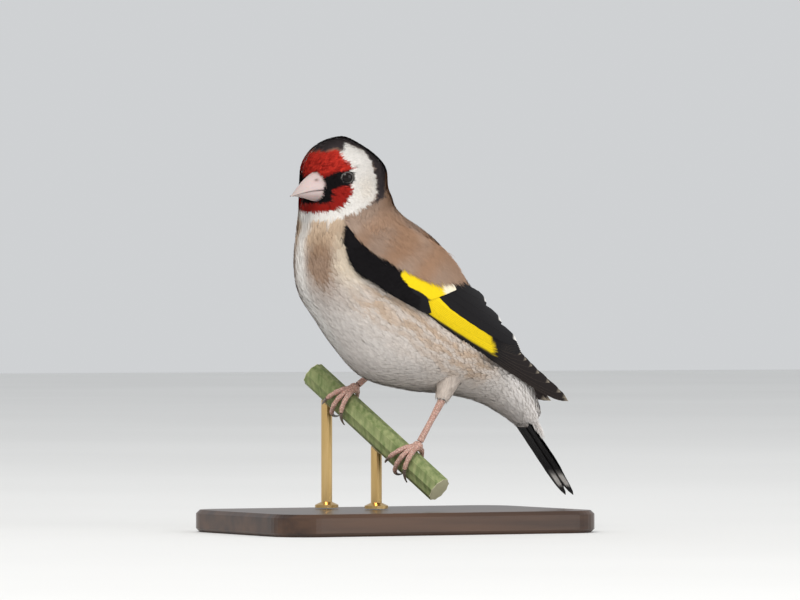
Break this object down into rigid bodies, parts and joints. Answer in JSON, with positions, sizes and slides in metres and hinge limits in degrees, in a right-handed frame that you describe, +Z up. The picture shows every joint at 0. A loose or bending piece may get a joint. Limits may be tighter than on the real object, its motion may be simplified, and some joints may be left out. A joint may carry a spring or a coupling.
{
  "type": "european goldfinch museum model",
  "caption": "Life-size still songbird with red mask, yellow wing panel and forked tail, gripping a cut plant stem on a plain two-rod stand.",
  "frame": {"origin": "centre of the stand base's underside", "axes": "+Z up, the bird faces -Y with its tail towards +Y, its left side is +X"},
  "size_m": [0.064, 0.1016, 0.1064],
  "materials": {
    "head_plumage": "short dense feathers, crimson mask, white cheeks, black crown",
    "body_plumage": "soft body feathers, tawny back and flanks, whitish belly",
    "flight_feathers": "black vanes with yellow wing panel and white tips",
    "bill_horn": "smooth pinkish horn",
    "eye": "wet dark brown eye",
    "leg_skin": "scaled flesh-coloured skin",
    "claw_horn": "grey-brown horn",
    "stem": "ribbed dry-green plant stem with pale cut ends",
    "stand_wood": "dark satin wood",
    "stand_metal": "satin brass rod"
  },
  "bodies": {
    "root": {"head": "head_plumage", "neck": "body_plumage", "torso": "body_plumage", "rump": "body_plumage", "thigh_left": "body_plumage", "thigh_right": "body_plumage", "tail": "flight_feathers", "wing_left": "flight_feathers", "wing_right": "flight_feathers", "bill_upper": "bill_horn", "bill_lower": "bill_horn", "eye_left": "eye", "shank_left": "leg_skin", "foot_left": "leg_skin", "claw_inner_left": "claw_horn", "claw_middle_left": "claw_horn", "claw_outer_left": "claw_horn", "claw_rear_left": "claw_horn", "eye_right": "eye", "shank_right": "leg_skin", "foot_right": "leg_skin", "claw_inner_right": "claw_horn", "claw_middle_right": "claw_horn", "claw_outer_right": "claw_horn", "claw_rear_right": "claw_horn", "stand_perch": "stem", "stand_base": "stand_wood", "stand_rod_tall": "stand_metal", "stand_rod_short": "stand_metal"}
  },
  "joints": []
}
